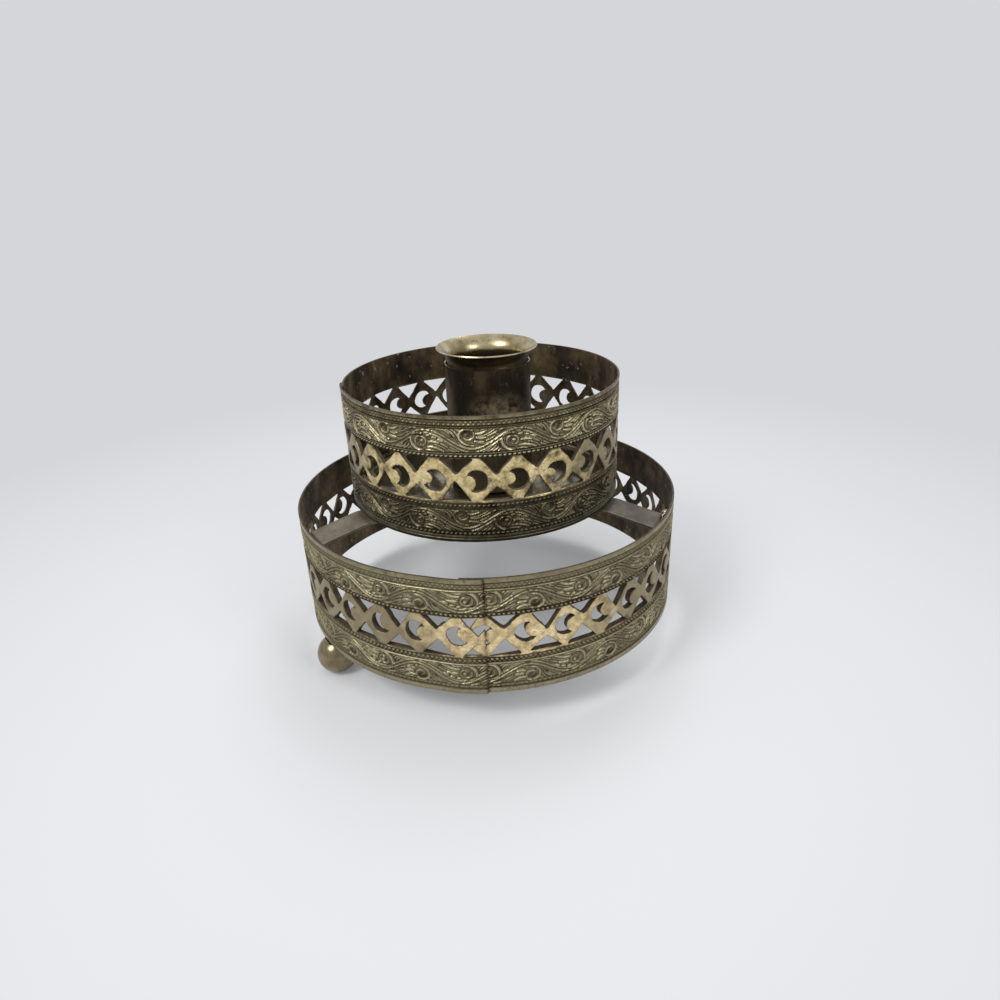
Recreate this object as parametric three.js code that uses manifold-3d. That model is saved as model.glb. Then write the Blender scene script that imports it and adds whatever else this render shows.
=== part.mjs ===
// A two-tier taper candle holder: two rings of pierced gallery strip, joined by three
// flat arms, with a tray and a flared candle cup above and ball feet below.
// Millimetres, +Z up, origin on the table under the axis of the rings, front towards -Y.

import * as THREE from 'three';
import { mergeVertices } from 'three/addons/utils/BufferGeometryUtils.js';
import Module from 'manifold-3d';

const wasm = await Module();
wasm.setup();

// Candle cup and its sleeve
const taperDiameter = 22.2;
const taperClearance = 0.1;
const cupWall = 0.4;
const cupDepth = 30;
const cupHeight = 41.4;
const cupCornerRadius = 1.4;
const flareReach = 2.9;
const flareRise = 4.2;
const sleeveWall = 0.4;
const sleeveCornerRadius = 1.0;
const cupOffCentre = 2.0;

// Gallery strip
const stripThickness = 0.6;
const stripWidth = 34.0;
const motifPitch = 10.52;
const piercedHeight = 11.2;
const piercedMiddle = 17.3;
const holeSideBulge = 0.25;
const loopHoleRadius = 2.95;
const loopDrop = 0.4;
const lobeOffset = 2.3;
const leastLap = 3.5;
const lapEaseLength = 9;

// Two kinds of motif take turns along the strip: a loop, and the pair of holes after it
const broadMotif = {
  lobeRadius: 2.3,
  lobeTilt: 17,
  upperHole: { width: 7.8, depth: 4.65 },
  lowerHole: { width: 7.6, depth: 3.75 },
};
const narrowMotif = {
  lobeRadius: 1.9,
  lobeTilt: -12,
  upperHole: { width: 8.5, depth: 4.0 },
  lowerHole: { width: 7.6, depth: 5.4 },
};

// Rings
const lowerRing = { radius: 56.6, steps: 72, seamAngle: 268, firstMotif: 7.1, motifs: [broadMotif, narrowMotif] };
const upperRing = { radius: 39.6, steps: 56, seamAngle: 185, firstMotif: 3.3, motifs: [narrowMotif, broadMotif] };
const tierGap = 0.8;

// Drip tray
const trayThickness = 0.6;
const trayRimHeight = 3.0;
const trayCornerRadius = 1.3;

// Arms
const armWidth = 9.2;
const armThickness = 0.9;
const armInnerRadius = 4.5;
const armLevelMargin = 1.5;
const armDrop = 2.4;
const armTabHeight = 5.0;
const armBendRadius = 1.4;
const arms = [
  { name: 'arm_left', angle: 210 },
  { name: 'arm_right', angle: 330 },
  { name: 'arm_rear', angle: 90 },
];

// Hub disc, screw and nut
const hubRadius = 13;
const hubThickness = 1.0;
const screwRadius = 1.5;
const screwHeadRadius = 2.9;
const screwHeadHeight = 1.8;
const screwSlotWidth = 0.8;
const screwSlotDepth = 0.9;
const screwTail = 1.5;
const nutAcrossFlats = 5.5;
const nutThickness = 2.4;

// Ball feet
const footRadius = 5.9;
const footFlatDepth = 0.4;
const footInset = 2.4;
const footSink = 0.8;
const feet = [
  { name: 'foot_left', angle: 212 },
  { name: 'foot_right', angle: 17 },
  { name: 'foot_rear', angle: 107 },
];

// Clearance between pieces that seat on, pass through or lie along each other
const fitGap = 0.3;

// How finely the round shapes are divided
const roundSteps = 36;
const ballSteps = 24;
const smallSteps = 18;
const bendSteps = 3;
const flareSteps = 5;
const crescentSteps = 8;
const lobeSteps = 5;

// Heights and radii that follow from the sizes above
const footCentreHeight = footRadius - footFlatDepth;
const lowerRingBottom = footCentreHeight + footRadius - footSink;
const lowerRingInside = lowerRing.radius - stripThickness;
const upperRingBottom = lowerRingBottom + stripWidth + tierGap;
const trayTop = upperRingBottom + trayThickness;
const armTop = upperRingBottom - fitGap;
const hubTop = armTop - armThickness - fitGap;
const nutTop = hubTop - hubThickness - fitGap;
const cupTop = trayTop + cupHeight;
const cupMiddleRadius = taperDiameter / 2 + taperClearance + cupWall / 2;
const sleeveBottom = trayTop + fitGap;
const sleeveTop = cupTop - flareRise;
const sleeveMiddleRadius = cupMiddleRadius + cupWall / 2 + fitGap + sleeveWall / 2;
const screwHole = screwRadius + fitGap;

const { degToRad, radToDeg, smoothstep } = THREE.MathUtils;

function point(x, y) {
  return new THREE.Vector2(x, y);
}

// Solid operations

function solidOf(geometry) {
  const bare = geometry.clone();
  bare.deleteAttribute('normal');
  bare.deleteAttribute('uv');
  const merged = mergeVertices(bare, 1e-4);
  return new wasm.Manifold(new wasm.Mesh({
    numProp: 3,
    vertProperties: new Float32Array(merged.attributes.position.array),
    triVerts: new Uint32Array(merged.index.array),
  }));
}

function cut(geometry, cutters) {
  let solid = solidOf(geometry);
  for (const cutter of cutters) {
    solid = solid.subtract(solidOf(cutter));
  }
  const mesh = solid.getMesh();
  const result = new THREE.BufferGeometry();
  result.setAttribute('position', new THREE.BufferAttribute(mesh.vertProperties, 3));
  result.setIndex(new THREE.BufferAttribute(mesh.triVerts, 1));
  result.computeVertexNormals();
  return result;
}

// Outlines

function arc(centre, radius, from, to, steps) {
  return Array.from({ length: steps + 1 }, (_, i) => {
    const angle = degToRad(from + (to - from) * i / steps);
    return point(centre.x + radius * Math.cos(angle), centre.y + radius * Math.sin(angle));
  });
}

// The bend that joins two straight runs of a line at a corner.
function bend(before, corner, after, radius) {
  const back = before.clone().sub(corner).normalize();
  const on = after.clone().sub(corner).normalize();
  const halfAngle = Math.acos(back.dot(on)) / 2;
  const middle = back.clone().add(on).normalize();
  const centre = corner.clone().addScaledVector(middle, radius / Math.sin(halfAngle));
  const reach = radius / Math.tan(halfAngle);
  const from = corner.clone().addScaledVector(back, reach).sub(centre);
  const to = corner.clone().addScaledVector(on, reach).sub(centre);
  const turn = Math.atan2(from.cross(to), from.dot(to));
  return Array.from({ length: bendSteps + 1 }, (_, i) => {
    const origin = point(0, 0);
    return from.clone().rotateAround(origin, turn * i / bendSteps).add(centre);
  });
}

// A sheet seen edge on: its middle line, thickened to both sides.
function sheetOutline(line, thickness) {
  const right = [];
  const left = [];
  line.forEach((here, i) => {
    const into = here.clone().sub(line[Math.max(i - 1, 0)]).normalize();
    const out = line[Math.min(i + 1, line.length - 1)].clone().sub(here).normalize();
    const along = into.clone().add(out).normalize();
    const reach = thickness / 2 / along.dot(i > 0 ? into : out);
    const side = point(along.y, -along.x).multiplyScalar(reach);
    right.push(here.clone().add(side));
    left.unshift(here.clone().sub(side));
  });
  return [...right, ...left];
}

// A solid of revolution about Z, from an outline of radius and height. An outline that
// leaves the axis and comes back to it is open there; any other closes on itself.
function turned(outline, steps) {
  const meetsAxis = outline[0].x === 0;
  const profile = meetsAxis ? outline : [...outline, outline[0]];
  const geometry = new THREE.LatheGeometry(profile, steps);
  return geometry.rotateX(Math.PI / 2);
}

function turnedBlock(inner, outer, bottom, top, steps) {
  const corners = [point(inner, bottom), point(outer, bottom), point(outer, top), point(inner, top)];
  return turned(corners, steps);
}

function extruded(outline, depth) {
  return new THREE.ExtrudeGeometry(new THREE.Shape(outline), { depth, bevelEnabled: false });
}

// Gallery strip: the flat pattern, seen from outside, x along the strip and y up from the
// middle of its pierced band. Pairs of three-sided holes, point to point, part the loops.

function bowedSide(from, to, inside) {
  const along = to.clone().sub(from);
  const inward = point(-along.y, along.x).normalize();
  const bulge = Math.sign(inward.dot(inside.clone().sub(from))) * holeSideBulge;
  const at = (share) => from.clone().lerp(to, share).addScaledVector(inward, 4 * share * (1 - share) * bulge);
  return [0, 1 / 2].map(at);
}

function threeSidedHole({ width, depth }, side) {
  const flatHeight = side * piercedHeight / 2;
  const tipHeight = flatHeight - side * depth;
  const left = point(-width / 2, flatHeight);
  const right = point(width / 2, flatHeight);
  const tip = point(0, tipHeight);
  const inside = point(0, (flatHeight + tipHeight) / 2);
  return [left, ...bowedSide(right, tip, inside), ...bowedSide(tip, left, inside)];
}

// The hole inside a loop: a circle less a round lobe that reaches in from one side.
function crescentHole({ lobeRadius, lobeTilt }) {
  const hornOffset = (loopHoleRadius ** 2 - lobeRadius ** 2 + lobeOffset ** 2) / (2 * lobeOffset);
  const hornHeight = Math.sqrt(loopHoleRadius ** 2 - hornOffset ** 2);
  const outerHorn = radToDeg(Math.atan2(hornHeight, -hornOffset));
  const lobeHorn = radToDeg(Math.atan2(hornHeight, lobeOffset - hornOffset));
  const origin = point(0, 0);
  const outer = arc(origin, loopHoleRadius, -outerHorn, outerHorn, crescentSteps);
  const lobe = arc(point(-lobeOffset, 0), lobeRadius, lobeHorn, -lobeHorn, lobeSteps).slice(1, -1);
  const tilted = [...outer, ...lobe].map((corner) => corner.rotateAround(origin, degToRad(lobeTilt)));
  return tilted.map((corner) => corner.sub(point(0, loopDrop)));
}

// The bent strip in plan. It starts at angle 0 with the end that laps outside, goes once
// round, and runs on under its own start. The start is eased outwards to clear the lap.
function bentStripOutline(ring, middle, lift, lapLength) {
  const lap = radToDeg(lapLength / middle);
  const ease = radToDeg(lapEaseLength / middle);
  const inner = [];
  const outer = [];
  const run = (from, to, steps, raised) => {
    for (let i = 1; i <= steps; i += 1) {
      const angle = degToRad(from + (to - from) * i / steps);
      const centre = middle + lift * raised(i / steps);
      const half = stripThickness / 2;
      const way = point(Math.cos(angle), Math.sin(angle));
      outer.push(way.clone().multiplyScalar(centre + half));
      inner.unshift(way.clone().multiplyScalar(centre - half));
    }
  };
  const full = () => 1;
  const none = () => 0;
  run(0, 0, 1, full);
  run(0, lap, 2, full);
  run(lap, lap + ease, 4, (share) => 1 - smoothstep(share, 0, 1));
  run(lap + ease, 360, ring.steps, none);
  run(360, 360 + lap, 2, none);
  return [...outer, ...inner];
}

function holeCutter(outline, radius, angle, inward, outward) {
  const geometry = extruded(outline, inward + outward);
  geometry.translate(0, 0, -inward);
  const out = new THREE.Vector3(Math.cos(angle), Math.sin(angle), 0);
  const up = new THREE.Vector3(0, 0, 1);
  const along = new THREE.Vector3().crossVectors(up, out);
  const place = new THREE.Matrix4().makeBasis(along, up, out);
  place.setPosition(out.clone().multiplyScalar(radius));
  return geometry.applyMatrix4(place);
}

// The strip is cut off half way between two motifs, at least leastLap past its start.
// Where it lies over itself, a cutter goes through one layer only. It ends between the
// layers, and so does the part of it that the round of the sheet leaves behind.
function galleryStrip(ring, below) {
  const middle = ring.radius - stripThickness / 2;
  const lift = stripThickness + fitGap;
  const round = 2 * Math.PI * middle;
  const count = Math.ceil((round + leastLap - ring.firstMotif) / motifPitch - 1 / 2);
  const end = ring.firstMotif + (count + 1 / 2) * motifPitch;
  const lapLength = end - round;
  const geometry = extruded(bentStripOutline(ring, middle, lift, lapLength), stripWidth);
  geometry.translate(0, 0, -below);
  const leftBehind = (narrowMotif.upperHole.width / 2) ** 2 / (2 * middle);
  const clear = 2 * (lift + leftBehind);
  const cutters = [];
  const pierce = (hole, reach, distance) => {
    if (distance + reach < 0 || distance - reach > end) {
      return;
    }
    const onLap = distance < lapLength;
    const underLap = distance + reach > round;
    const share = (distance - lapLength) / lapEaseLength;
    const radius = middle + lift * (onLap ? 1 : 1 - smoothstep(share, 0, 1));
    const inward = onLap ? stripThickness / 2 + (fitGap + leftBehind) / 2 : clear;
    const outward = underLap ? stripThickness / 2 + (fitGap - leftBehind) / 2 : clear;
    cutters.push(holeCutter(hole, radius, distance / middle, inward, outward));
  };
  for (let i = -1; i <= count; i += 1) {
    const { upperHole, lowerHole, ...lobe } = ring.motifs[(i + 2) % 2];
    const distance = ring.firstMotif + i * motifPitch;
    pierce(crescentHole(lobe), loopHoleRadius, distance);
    pierce(threeSidedHole(upperHole, 1), upperHole.width / 2, distance + motifPitch / 2);
    pierce(threeSidedHole(lowerHole, -1), lowerHole.width / 2, distance + motifPitch / 2);
  }
  return cut(geometry, cutters);
}

// The upper ring carries the strip as drawn, the lower ring the same strip turned half round.
function lowerGallery() {
  const strip = galleryStrip(lowerRing, stripWidth - piercedMiddle);
  strip.rotateX(Math.PI);
  strip.rotateZ(degToRad(lowerRing.seamAngle));
  return strip.translate(0, 0, lowerRingBottom + piercedMiddle);
}

function upperGallery() {
  const strip = galleryStrip(upperRing, piercedMiddle);
  strip.rotateZ(degToRad(upperRing.seamAngle));
  return strip.translate(0, 0, upperRingBottom + piercedMiddle);
}

// A dished plate in the bottom of the upper ring, with the cup screw's hole.
function dripTray() {
  const floor = upperRingBottom + trayThickness / 2;
  const rim = upperRing.radius - stripThickness - fitGap - trayThickness / 2;
  const start = point(0, floor);
  const corner = point(rim, floor);
  const top = point(rim, upperRingBottom + trayRimHeight);
  const line = [start, ...bend(start, corner, top, trayCornerRadius), top];
  const dish = turned(sheetOutline(line, trayThickness), upperRing.steps);
  const hole = turnedBlock(0, screwHole, upperRingBottom - 1, trayTop + 1, smallSteps);
  return cut(dish, [hole.translate(cupOffCentre, 0, 0)]);
}

// The outer tube of the candle socket, with a floor for the screw's head.
function cupSleeve() {
  const floor = sleeveBottom + sleeveWall / 2;
  const start = point(screwHole, floor);
  const corner = point(sleeveMiddleRadius, floor);
  const top = point(sleeveMiddleRadius, sleeveTop);
  const line = [start, ...bend(start, corner, top, sleeveCornerRadius), top];
  return turned(sheetOutline(line, sleeveWall), roundSteps);
}

// The bright cup that takes the candle: closed below, flared above the sleeve's edge.
function candleCup() {
  const floor = cupTop - cupDepth - cupWall / 2;
  const start = point(0, floor);
  const corner = point(cupMiddleRadius, floor);
  const neck = point(cupMiddleRadius, cupTop - flareRise);
  const flare = Array.from({ length: flareSteps }, (_, i) => {
    const share = (i + 1) / flareSteps;
    return point(cupMiddleRadius + flareReach * share ** 2, neck.y + flareRise * share);
  });
  const line = [start, ...bend(start, corner, neck, cupCornerRadius), neck, ...flare];
  return turned(sheetOutline(line, cupWall), roundSteps);
}

// A flat arm: level under the tray, sloped down to the lower ring and bent down against
// the inside of its wall.
function arm() {
  const wall = lowerRingInside * Math.cos(Math.PI / lowerRing.steps) - fitGap;
  const tabOutside = Math.sqrt(wall ** 2 - (armWidth / 2) ** 2);
  const height = armTop - armThickness / 2;
  const start = point(armInnerRadius, height);
  const knee = point(upperRing.radius + armLevelMargin, height);
  const corner = point(tabOutside - armThickness / 2, height - armDrop);
  const end = point(corner.x, corner.y - armTabHeight);
  const line = [start, knee, ...bend(knee, corner, end, armBendRadius), end];
  const geometry = extruded(sheetOutline(line, armThickness), armWidth);
  geometry.translate(0, 0, -armWidth / 2);
  return geometry.rotateX(Math.PI / 2);
}

// The disc that clamps the arms up against the tray.
function hubDisc() {
  return turnedBlock(screwHole, hubRadius, hubTop - hubThickness, hubTop, roundSteps);
}

function cupScrew() {
  const headBottom = sleeveBottom + sleeveWall + fitGap;
  const headTop = headBottom + screwHeadHeight;
  const tail = nutTop - nutThickness - screwTail;
  const outline = [
    point(0, tail),
    point(screwRadius, tail),
    point(screwRadius, headBottom),
    point(screwHeadRadius, headBottom),
    point(screwHeadRadius, headTop),
    point(0, headTop),
  ];
  const slot = new THREE.BoxGeometry(3 * screwHeadRadius, screwSlotWidth, 2 * screwSlotDepth);
  return cut(turned(outline, smallSteps), [slot.translate(0, 0, headTop)]);
}

function hubNut() {
  const cornerRadius = nutAcrossFlats / 2 / Math.cos(Math.PI / 6);
  const hexagon = arc(point(0, 0), cornerRadius, 0, 300, 5);
  const shape = new THREE.Shape(hexagon);
  shape.holes.push(new THREE.Path(arc(point(0, 0), screwHole, 0, 360, smallSteps).slice(1)));
  const geometry = new THREE.ExtrudeGeometry(shape, { depth: nutThickness, bevelEnabled: false });
  return geometry.translate(0, 0, nutTop - nutThickness);
}

// A ball with a small flat to stand on and a seat for the lower ring's edge.
function ballFoot() {
  const flatAngle = radToDeg(Math.asin(footCentreHeight / footRadius));
  const outline = [point(0, 0), ...arc(point(0, footCentreHeight), footRadius, -flatAngle, 90, 10)];
  outline[outline.length - 1].x = 0;
  const inner = lowerRingInside - fitGap;
  const outer = lowerRing.radius + fitGap;
  const seatBottom = lowerRingBottom - fitGap;
  const seat = turnedBlock(inner, outer, seatBottom, seatBottom + footRadius, 2 * lowerRing.steps);
  seat.translate(footInset - lowerRing.radius, 0, 0);
  const ball = cut(turned(outline, ballSteps), [seat]);
  return ball.translate(lowerRing.radius - footInset, 0, 0);
}

// Assembly

const finishes = {
  galleryMetal: { color: 0x8c8163, metalness: 0.85, roughness: 0.45 },
  darkBrass: { color: 0x4a4236, metalness: 0.8, roughness: 0.55 },
  brightBrass: { color: 0xb39a5e, metalness: 0.95, roughness: 0.22 },
  agedBrass: { color: 0x9c854e, metalness: 0.9, roughness: 0.3 },
};

const holder = new THREE.Group();
holder.name = 'taper_candle_holder';

const cupColumn = new THREE.Group();
cupColumn.name = 'cup_column';
cupColumn.position.x = cupOffCentre;
holder.add(cupColumn);

function addPiece(parent, name, geometry, finish) {
  const mesh = new THREE.Mesh(geometry, new THREE.MeshStandardMaterial(finishes[finish]));
  mesh.name = name;
  parent.add(mesh);
  return mesh;
}

addPiece(holder, 'lower_gallery_ring', lowerGallery(), 'galleryMetal');
addPiece(holder, 'upper_gallery_ring', upperGallery(), 'galleryMetal');
addPiece(holder, 'drip_tray', dripTray(), 'darkBrass');
for (const { name, angle } of arms) {
  addPiece(holder, name, arm(), 'darkBrass').rotation.z = degToRad(angle);
}
for (const { name, angle } of feet) {
  addPiece(holder, name, ballFoot(), 'agedBrass').rotation.z = degToRad(angle);
}
addPiece(cupColumn, 'cup_sleeve', cupSleeve(), 'darkBrass');
addPiece(cupColumn, 'candle_cup', candleCup(), 'brightBrass');
addPiece(cupColumn, 'hub_disc', hubDisc(), 'darkBrass');
addPiece(cupColumn, 'cup_screw', cupScrew(), 'agedBrass');
addPiece(cupColumn, 'hub_nut', hubNut(), 'agedBrass');

export default holder;
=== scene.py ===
"""A two-tier taper candle holder of pierced gallery strip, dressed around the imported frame.

Lengths are millimetres, +Z is up and the front is towards -Y. Meshes are made in metres.
"""

import math

import bmesh
import bpy
import numpy as np
from mathutils import Matrix, Vector
from mathutils.geometry import delaunay_2d_cdt


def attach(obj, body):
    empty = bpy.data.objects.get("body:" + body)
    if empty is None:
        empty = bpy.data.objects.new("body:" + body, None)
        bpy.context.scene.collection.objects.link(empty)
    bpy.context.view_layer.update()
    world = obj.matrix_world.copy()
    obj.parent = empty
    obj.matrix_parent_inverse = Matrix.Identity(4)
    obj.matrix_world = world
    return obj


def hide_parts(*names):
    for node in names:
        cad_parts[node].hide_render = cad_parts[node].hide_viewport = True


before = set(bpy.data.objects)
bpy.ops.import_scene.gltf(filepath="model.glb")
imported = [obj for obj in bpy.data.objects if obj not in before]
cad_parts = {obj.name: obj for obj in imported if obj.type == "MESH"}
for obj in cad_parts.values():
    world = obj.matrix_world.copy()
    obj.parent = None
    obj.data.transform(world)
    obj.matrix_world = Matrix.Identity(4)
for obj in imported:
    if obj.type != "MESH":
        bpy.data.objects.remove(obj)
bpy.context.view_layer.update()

MM = 0.001

# Gallery strip
STRIP_THICKNESS = 0.6
STRIP_WIDTH = 34.0
MOTIF_PITCH = 10.52
PIERCED_MIDDLE = 17.3
PIERCED_HEIGHT = 11.6
PIERCED_ZONE = (11.1, 23.3)
HOLE_CORNER_RADIUS = 0.4
CRESCENT_CORNER_RADIUS = 0.2
HOLE_SEED = 11
HOLE_SHIFT = (0.17, 0.05)
HOLE_STRETCH = 0.02
HOLE_UNEVENNESS = 0.05
HOLE_RIM = 0.28
HOLE_BEVEL = 0.2
HOLE_BURR = -0.42
BURR_FRONT = 0.2
BURR_FRONT_EASE = 0.5
BURR_BASE_EASE = 0.6
RIM_BURR_SHARE = 0.6
LOOP_HOLE_RADIUS = 2.95
LOOP_DROP = 0.4
LOBE_OFFSET = 2.3
LEAST_LAP = 3.5
LAP_LIFT = 0.57
LAP_EASE_LENGTH = 9.0
SEAM_REACH = 0.45
# Painted sheen on the posts at the back, as a share of that at the front
SHEEN_BEHIND = 0.8
FIT_GAP = 0.3
BEAD_PITCH = 1.23
VINE_LENGTH = 23.2
VINE_HALF_HEIGHT = 3.15

# Surface levels, measured outwards from the middle of the sheet
GROUND = -0.26
CROWN = 0.27
PLAIN = 0.22
INSIDE = -0.3

# Two kinds of motif: the tilt of the loop's lobe, then width and depth of the hole above
# and of the hole below
BROAD = {"tilt": 17.0, "above": (8.3, 4.85), "below": (8.1, 3.95)}
NARROW = {"tilt": -12.0, "above": (8.7, 4.25), "below": (8.1, 5.6)}

# Rings: a strip runs from its outer end, towards greater azimuth or the other way.
# Heights are from the strip's lower edge. vines: middle, and how far along a crest is.
# ridges: height, half width, level. beads: height, length, width, shift along, level.
# faint: from and to which height the ground between the beads is nearly filled.
# The posts' painted sheen is centred on the front azimuth given for each ring and spreads over its reach.
LOWER = {
    "name": "lower", "node": "lower_gallery_ring", "radius": 56.6, "bottom": 10.6, "columns": 1500,
    "seam": 268.0, "turn": -1, "first_motif": 7.1,
    "motifs": (BROAD, NARROW), "lobes": (2.4, 2.2), "burr": -1.5,
    "vines": ((5.65, 7.0), (27.3, 5.8)),
    "ridges": ((0.85, 0.16, 0.75), (9.0, 0.18, 0.9), (30.7, 0.2, 1.0)),
    "beads": (
        (1.95, 0.7, 0.5, 0.0, 0.8), (9.55, 0.7, 0.35, 0.6, 0.5), (10.2, 0.85, 0.7, 0.0, 0.8),
        (23.55, 0.8, 0.6, 0.3, 0.8), (31.4, 0.75, 0.4, 0.0, 0.8), (31.95, 0.75, 0.4, 0.6, 0.8),
    ),
    "faint": ((1.5, 2.4), (31.0, 32.35)), "edges": (1.45, 32.6), "sheen_front": 277.0, "sheen_reach": 30.0,
}
UPPER = {
    "name": "upper", "node": "upper_gallery_ring", "radius": 39.6, "bottom": 45.4, "columns": 1430,
    "seam": 185.0, "turn": 1, "first_motif": 3.3,
    "motifs": (NARROW, BROAD), "lobes": (1.8, 2.1), "burr": -1.0,
    "vines": ((6.05, 18.08), (27.75, 20.55)),
    "ridges": ((1.3, 0.2, 0.85), (9.4, 0.17, 0.8), (10.85, 0.14, 0.6), (24.35, 0.14, 0.6), (31.2, 0.16, 0.9)),
    "beads": (
        (2.25, 0.9, 0.5, 0.0, 0.8), (10.15, 0.9, 0.6, 0.3, 0.75), (23.65, 0.95, 0.55, 0.0, 0.8),
        (31.85, 0.75, 0.42, 0.0, 0.85), (32.45, 0.75, 0.42, 0.6, 0.85),
    ),
    "faint": ((31.45, 32.8),), "edges": (1.0, 33.0), "sheen_front": 262.0, "sheen_reach": 52.0,
}

# Tray, cup, sleeve
TRAY_BOTTOM = 45.4
TRAY_THICKNESS = 0.6
TRAY_RIM_TOP = 48.4
TRAY_OUTSIDE = 38.7
TRAY_CORNER = 1.6
COLUMN_X = 2.0
CUP_TOP = 87.38
CUP_FLOOR = 57.4
CUP_BORE = 11.2
CUP_WALL = 0.4
CUP_CORNER = 1.2
FLARE_REACH = 2.9
FLARE_RISE = 4.2
SLEEVE_BOTTOM = 46.3
SLEEVE_TOP = 83.2
SLEEVE_OUTSIDE = 12.3
SLEEVE_WALL = 0.4
SLEEVE_CORNER = 1.2
WORN_SPOT = (0.0045, -0.0120, 0.0665)

# Arms
ARM_TOP = 45.1
ARM_WIDTH = 9.2
ARM_THICKNESS = 0.9
ARM_INNER_RADIUS = 4.5
ARM_KNEE_RADIUS = 41.1
ARM_DROP = 2.4
ARM_TAB = 5.0
ARM_BEND_RADIUS = 1.4
ARM_ANGLES = (("left", 210.0), ("right", 330.0), ("rear", 90.0))
SOLDER_SPOTS = ((-3.2, 42.9, 0.6), (0.8, 42.9, 0.6), (3.0, 43.1, 0.9), (4.1, 43.7, 1.0), (4.9, 43.2, 0.8))

# Hub, screw, nut
HUB_RADIUS = 13.0
HUB_TOP = 43.9
HUB_THICKNESS = 1.0
SCREW_RADIUS = 1.5
SCREW_HOLE = 1.8
SCREW_HEAD_BOTTOM = 47.0
SCREW_HEAD_RADIUS = 2.9
SCREW_HEAD_HEIGHT = 1.8
SCREW_SLOT = (0.8, 0.9)
SCREW_TAIL = 38.7
THREAD_PITCH = 0.6
NUT_FLATS = 5.5
NUT_TOP = 42.6
NUT_THICKNESS = 2.4

# Feet
FOOT_RADIUS = 5.82
FOOT_CENTRE_HEIGHT = 5.5
FOOT_CENTRE_RADIUS = 54.2
FOOT_ANGLES = (("left", 212.0), ("right", 17.0), ("rear", 107.0))


# Meshes

def add_object(name, data):
    made = bpy.data.objects.new(name, data)
    bpy.context.scene.collection.objects.link(made)
    return made


def new_piece(name, points, faces, materials, marks=None, sharp_angle=None):
    """A mesh object from points in metres. marks gives the material of each face."""
    mesh = bpy.data.meshes.new(name)
    mesh.from_pydata(np.asarray(points, float).tolist(), [], faces)
    for material in materials:
        mesh.materials.append(material)
    if marks is not None:
        mesh.polygons.foreach_set("material_index", np.asarray(marks, np.int32))
    mesh.polygons.foreach_set("use_smooth", np.ones(len(mesh.polygons), bool))
    if sharp_angle is not None:
        mesh.set_sharp_from_angle(angle=math.radians(sharp_angle))
    mesh.validate()
    mesh.update()
    return add_object(name, mesh)


def place(piece, node):
    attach(piece, "root")
    if node:
        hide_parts(node)


def smoothstep(share):
    share = np.clip(share, 0.0, 1.0)
    return share * share * (3.0 - 2.0 * share)


# Gallery strip, bent into a ring

def middle_radius(ring):
    return ring["radius"] - STRIP_THICKNESS / 2


def round_length(ring):
    return 2 * math.pi * middle_radius(ring)


def strip_length(ring):
    """The strip is cut off half way between two motifs, a little past its own start."""
    motifs = math.ceil((round_length(ring) + LEAST_LAP - ring["first_motif"]) / MOTIF_PITCH - 0.5)
    return ring["first_motif"] + (motifs + 0.5) * MOTIF_PITCH


def lap_lift(ring, along):
    lap = strip_length(ring) - round_length(ring)
    return LAP_LIFT * (1.0 - smoothstep((along - lap) / LAP_EASE_LENGTH))


def azimuth_at(ring, along):
    return math.radians(ring["seam"]) + ring["turn"] * along / middle_radius(ring)


def on_ring(ring, along, height, level):
    """Points of the flat strip bent into its ring, in metres."""
    angle = azimuth_at(ring, along)
    radius = middle_radius(ring) + lap_lift(ring, along) + level
    return np.stack([radius * np.cos(angle), radius * np.sin(angle), ring["bottom"] + height], -1) * MM


# Relief drawing: strokes on one repeat of the vine, sampled at TILE_STEP

TILE_STEP = 0.05
TILE_HALF_HEIGHT = 3.3
STEM_SWING = 2.35
STEM_LEVEL = -0.2
STEM_LINES = (-0.42, 0.42)
STEM_HALF_WIDTH = 0.2
STEM_TOP = 0.95
MOAT_WIDTH = 0.17
MOAT_LEVEL = 0.1
GROUND_LEVEL = 0.36
GRAIN_LEVEL = 0.08
GRAIN_PITCH = (VINE_LENGTH / 44, 0.56)
FAINT_LEVEL = 0.3
FAINT_EASE = 0.1
VINE_EASE = 0.25
EDGE_EASE = 0.15

# Heights of the grid's rows: over the vines, over beads and ridges, and on the plain edges
VINE_ROW = 0.19
BEAD_ROW = 0.14
PLAIN_ROW = 0.5
LEAST_ROW = 0.06


def stroke_height(grid_u, grid_v, points, widths, top):
    """A rounded ridge along a line whose half width changes from point to point."""
    best = np.zeros_like(grid_u)
    for (u0, v0), (u1, v1), w0, w1 in zip(points, points[1:], widths, widths[1:]):
        du, dv = u1 - u0, v1 - v0
        share = ((grid_u - u0) * du + (grid_v - v0) * dv) / (du * du + dv * dv + 1e-9)
        share = np.clip(share, 0.0, 1.0)
        distance = np.hypot(grid_u - u0 - share * du, grid_v - v0 - share * dv)
        half = w0 + (w1 - w0) * share
        round_over = np.sqrt(np.clip(1.0 - (distance / half) ** 2, 0.0, 1.0))
        best = np.maximum(best, top * round_over)
    return best


def curve(start, control, end, count=8):
    shares = np.linspace(0, 1, count)
    return [
        (
            (1 - t) ** 2 * start[0] + 2 * t * (1 - t) * control[0] + t * t * end[0],
            (1 - t) ** 2 * start[1] + 2 * t * (1 - t) * control[1] + t * t * end[1],
        )
        for t in shares
    ]


def smooth_line(knots):
    """Points spaced along a smooth curve through the knots."""
    knots = np.array(knots, float)
    padded = np.concatenate([[2 * knots[0] - knots[1]], knots, [2 * knots[-1] - knots[-2]]])
    result = []
    for t in np.linspace(0, len(knots) - 1 - 1e-9, 4 * len(knots)):
        i = int(t)
        f = t - i
        a, b, c, d = padded[i:i + 4]
        result.append(tuple(0.5 * (2 * b + (c - a) * f + (2 * a - 5 * b + 4 * c - d) * f ** 2
                                   + (3 * b - a - 3 * c + d) * f ** 3)))
    return result


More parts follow.
